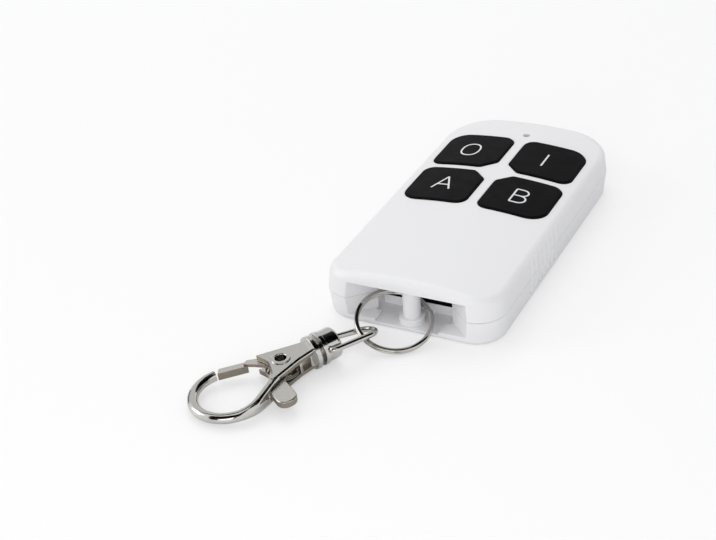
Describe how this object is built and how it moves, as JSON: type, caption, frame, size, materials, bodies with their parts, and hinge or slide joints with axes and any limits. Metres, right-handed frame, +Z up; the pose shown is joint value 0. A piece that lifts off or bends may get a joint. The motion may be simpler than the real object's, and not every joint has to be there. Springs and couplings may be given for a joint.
{
  "type": "wireless remote control",
  "caption": "Slim white key-fob remote control with square black keys, a ring bay at one end, a split ring and a swivelling trigger snap.",
  "frame": {"origin": "centre of the case's flat back, where it rests", "axes": "+Z up out of the keys, +Y along the case away from the ring bay, +X across to the case's right"},
  "size_m": [0.0443, 0.1071, 0.0111],
  "materials": {
    "white_plastic": "fine matte, lightly grained",
    "black_silicone": "matte with a soft sheen",
    "zinc_plated_screw": "bright zinc",
    "board_green": "solder-masked glass epoxy",
    "red_lens": "clear red epoxy",
    "chip_black": "moulded epoxy",
    "plunger_cream": "smooth",
    "nickel_can": "nickel-plated",
    "cell_steel": "nickel-plated steel",
    "spring_steel": "drawn, bright",
    "ring_steel": "polished nickel plate",
    "bright_nickel": "polished nickel plate over zinc"
  },
  "bodies": {
    "case": {"top_cover": "white_plastic", "bottom_cover": "white_plastic", "case_screws": "zinc_plated_screw", "keypad_web": "black_silicone", "circuit_board": "board_green", "switch_base_off": "chip_black", "switch_base_on": "chip_black", "switch_base_a": "chip_black", "switch_base_b": "chip_black", "status_led": "red_lens", "encoder_chip": "chip_black", "saw_resonator": "nickel_can", "coin_cell": "cell_steel", "battery_clip": "spring_steel", "battery_leaf": "spring_steel"},
    "key_off": {"key_off": "black_silicone"},
    "plunger_off": {"switch_plunger_off": "plunger_cream"},
    "key_on": {"key_on": "black_silicone"},
    "plunger_on": {"switch_plunger_on": "plunger_cream"},
    "key_a": {"key_a": "black_silicone"},
    "plunger_a": {"switch_plunger_a": "plunger_cream"},
    "key_b": {"key_b": "black_silicone"},
    "plunger_b": {"switch_plunger_b": "plunger_cream"},
    "ring": {"split_ring": "ring_steel"},
    "bail": {"bail": "bright_nickel"},
    "ferrule": {"ferrule": "bright_nickel"},
    "clasp": {"clasp_body": "bright_nickel", "gate_rivet": "bright_nickel", "gate_spring": "spring_steel"},
    "gate": {"gate": "bright_nickel"}
  },
  "joints": [
    {"name": "key_off_press", "type": "slide", "parent": "case", "child": "key_off", "axis": [0, 0, -1], "range_m": [0, 0.00025], "stiffness_N_per_m": 400, "springref_m": -0.0005},
    {"name": "plunger_off_press", "type": "slide", "parent": "case", "child": "plunger_off", "axis": [0, 0, -1], "range_m": [0, 0.00025]},
    {"name": "key_on_press", "type": "slide", "parent": "case", "child": "key_on", "axis": [0, 0, -1], "range_m": [0, 0.00025], "stiffness_N_per_m": 400, "springref_m": -0.0005},
    {"name": "plunger_on_press", "type": "slide", "parent": "case", "child": "plunger_on", "axis": [0, 0, -1], "range_m": [0, 0.00025]},
    {"name": "key_a_press", "type": "slide", "parent": "case", "child": "key_a", "axis": [0, 0, -1], "range_m": [0, 0.00025], "stiffness_N_per_m": 400, "springref_m": -0.0005},
    {"name": "plunger_a_press", "type": "slide", "parent": "case", "child": "plunger_a", "axis": [0, 0, -1], "range_m": [0, 0.00025]},
    {"name": "key_b_press", "type": "slide", "parent": "case", "child": "key_b", "axis": [0, 0, -1], "range_m": [0, 0.00025], "stiffness_N_per_m": 400, "springref_m": -0.0005},
    {"name": "plunger_b_press", "type": "slide", "parent": "case", "child": "plunger_b", "axis": [0, 0, -1], "range_m": [0, 0.00025]},
    {"name": "ring_swing", "type": "hinge", "parent": "case", "child": "ring", "pos_m": [0, -0.0318, 0.003], "axis": [0, 0, 1], "range_deg": [-10, 12]},
    {"name": "bail_turn", "type": "hinge", "parent": "ring", "child": "bail", "pos_m": [-0.005, -0.0408, 0.0029], "axis": [0, 0, 1], "range_deg": [-15, 8]},
    {"name": "bail_pivot", "type": "hinge", "parent": "bail", "child": "ferrule", "pos_m": [-0.00983, -0.04831, 0.00334], "axis": [0.8066, -0.4962, 0.3212], "range_deg": [-60, 60]},
    {"name": "swivel", "type": "hinge", "parent": "ferrule", "child": "clasp", "pos_m": [-0.01078, -0.04995, 0.00318], "axis": [-0.4983, -0.8631, -0.0819], "continuous": true},
    {"name": "gate_hinge", "type": "hinge", "parent": "clasp", "child": "gate", "pos_m": [-0.01407, -0.05565, 0.00264], "axis": [-0.041, -0.071, 0.9966], "range_deg": [0, 25], "stiffness_Nm_per_rad": 0.02, "springref_deg": -17.19}
  ],
  "couplings": [
    {"joint": "plunger_off_press", "follows": "key_off_press", "ratio": 1},
    {"joint": "plunger_on_press", "follows": "key_on_press", "ratio": 1},
    {"joint": "plunger_a_press", "follows": "key_a_press", "ratio": 1},
    {"joint": "plunger_b_press", "follows": "key_b_press", "ratio": 1}
  ]
}
